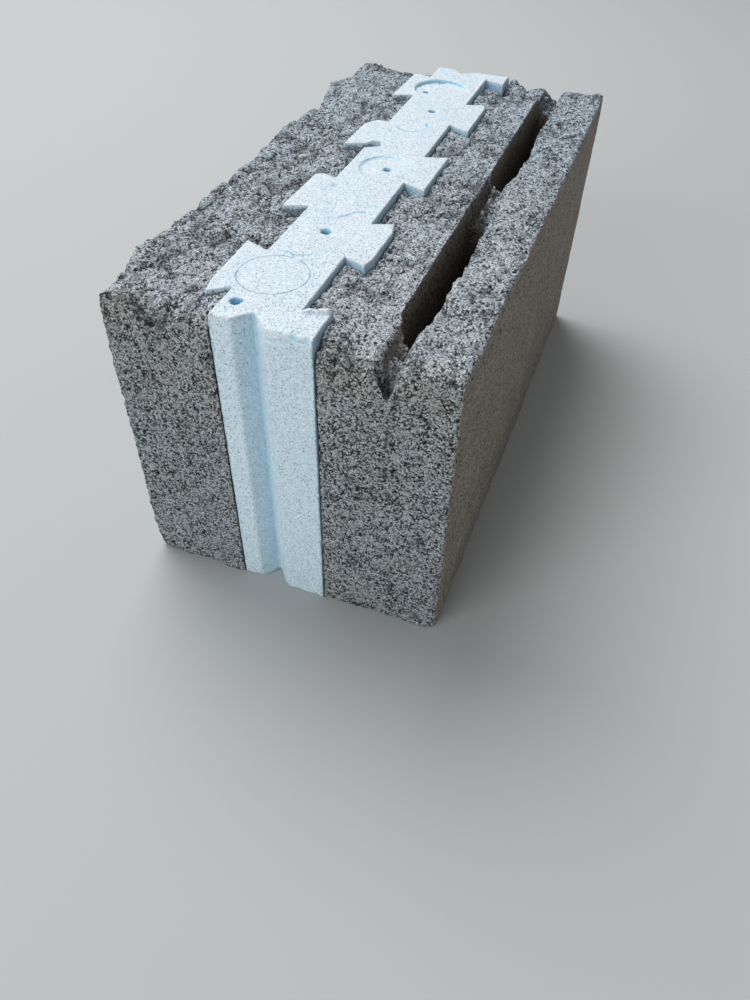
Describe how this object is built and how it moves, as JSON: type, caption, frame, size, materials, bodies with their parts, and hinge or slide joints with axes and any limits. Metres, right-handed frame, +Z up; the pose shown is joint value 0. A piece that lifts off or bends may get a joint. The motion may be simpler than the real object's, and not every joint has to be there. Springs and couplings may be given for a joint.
{
  "type": "concrete block",
  "caption": "Insulated building block: two porous concrete leaves locked by dovetails to a foam insert between them, one leaf with slots through it.",
  "frame": {"origin": "middle of the bed face, under the middle of the block", "axes": "+Z up from the bed face, +Y along the block's length, +X from the solid leaf to the slotted leaf"},
  "size_m": [0.2, 0.392, 0.203],
  "materials": {
    "concrete": "rough open-pored dry-cast concrete",
    "foam": "matte moulded bead foam"
  },
  "bodies": {
    "root": {"solid_leaf": "concrete", "foam_insert": "foam", "slotted_leaf": "concrete"}
  },
  "joints": []
}
